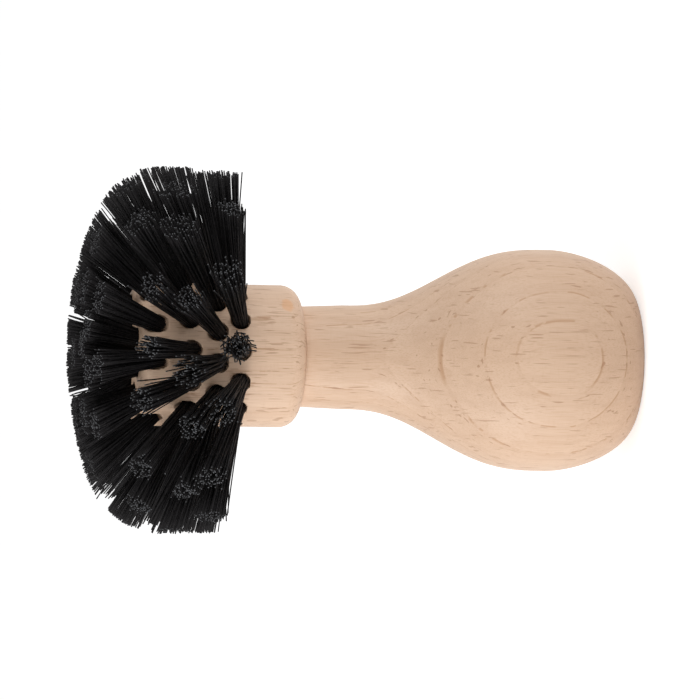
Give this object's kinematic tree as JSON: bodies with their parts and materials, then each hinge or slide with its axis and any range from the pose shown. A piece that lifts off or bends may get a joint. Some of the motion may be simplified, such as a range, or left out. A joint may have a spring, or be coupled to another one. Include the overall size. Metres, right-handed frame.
{
  "type": "portafilter brush",
  "caption": "Round cleaning brush for a coffee machine's portafilter: pear-shaped wooden knob handle and a short wooden head set with tufts of stiff black bristles that fan out.",
  "frame": {"origin": "centre of the flat end of the knob, on which the brush stands", "axes": "+Z along the brush from the knob to the bristles, -Y towards the side that the picture shows"},
  "size_m": [0.0799, 0.0799, 0.1231],
  "materials": {
    "beech": "satin, unvarnished",
    "black_nylon": "satin"
  },
  "bodies": {
    "root": {"brush_head": "beech", "edge_tuft_01": "black_nylon", "edge_tuft_02": "black_nylon", "edge_tuft_03": "black_nylon", "edge_tuft_04": "black_nylon", "edge_tuft_05": "black_nylon", "edge_tuft_06": "black_nylon", "edge_tuft_07": "black_nylon", "edge_tuft_08": "black_nylon", "edge_tuft_09": "black_nylon", "edge_tuft_10": "black_nylon", "edge_tuft_11": "black_nylon", "edge_tuft_12": "black_nylon", "front_tuft_01": "black_nylon", "front_tuft_02": "black_nylon", "front_tuft_03": "black_nylon", "front_tuft_04": "black_nylon", "handle": "beech", "row_1_tuft_01": "black_nylon", "row_1_tuft_02": "black_nylon", "row_1_tuft_03": "black_nylon", "row_1_tuft_04": "black_nylon", "row_1_tuft_05": "black_nylon", "row_1_tuft_06": "black_nylon", "row_1_tuft_07": "black_nylon", "row_1_tuft_08": "black_nylon", "row_1_tuft_09": "black_nylon", "row_1_tuft_10": "black_nylon", "row_1_tuft_11": "black_nylon", "row_1_tuft_12": "black_nylon", "row_1_tuft_13": "black_nylon", "row_1_tuft_14": "black_nylon", "row_2_tuft_01": "black_nylon", "row_2_tuft_02": "black_nylon", "row_2_tuft_03": "black_nylon", "row_2_tuft_04": "black_nylon", "row_2_tuft_05": "black_nylon", "row_2_tuft_06": "black_nylon", "row_2_tuft_07": "black_nylon", "row_2_tuft_08": "black_nylon", "row_2_tuft_09": "black_nylon", "row_2_tuft_10": "black_nylon", "row_2_tuft_11": "black_nylon", "row_2_tuft_12": "black_nylon", "row_2_tuft_13": "black_nylon", "row_2_tuft_14": "black_nylon", "row_3_tuft_01": "black_nylon", "row_3_tuft_02": "black_nylon", "row_3_tuft_03": "black_nylon", "row_3_tuft_04": "black_nylon", "row_3_tuft_05": "black_nylon", "row_3_tuft_06": "black_nylon", "row_3_tuft_07": "black_nylon", "row_3_tuft_08": "black_nylon", "row_3_tuft_09": "black_nylon", "row_3_tuft_10": "black_nylon", "row_3_tuft_11": "black_nylon", "row_3_tuft_12": "black_nylon", "row_3_tuft_13": "black_nylon", "row_3_tuft_14": "black_nylon"}
  },
  "joints": []
}
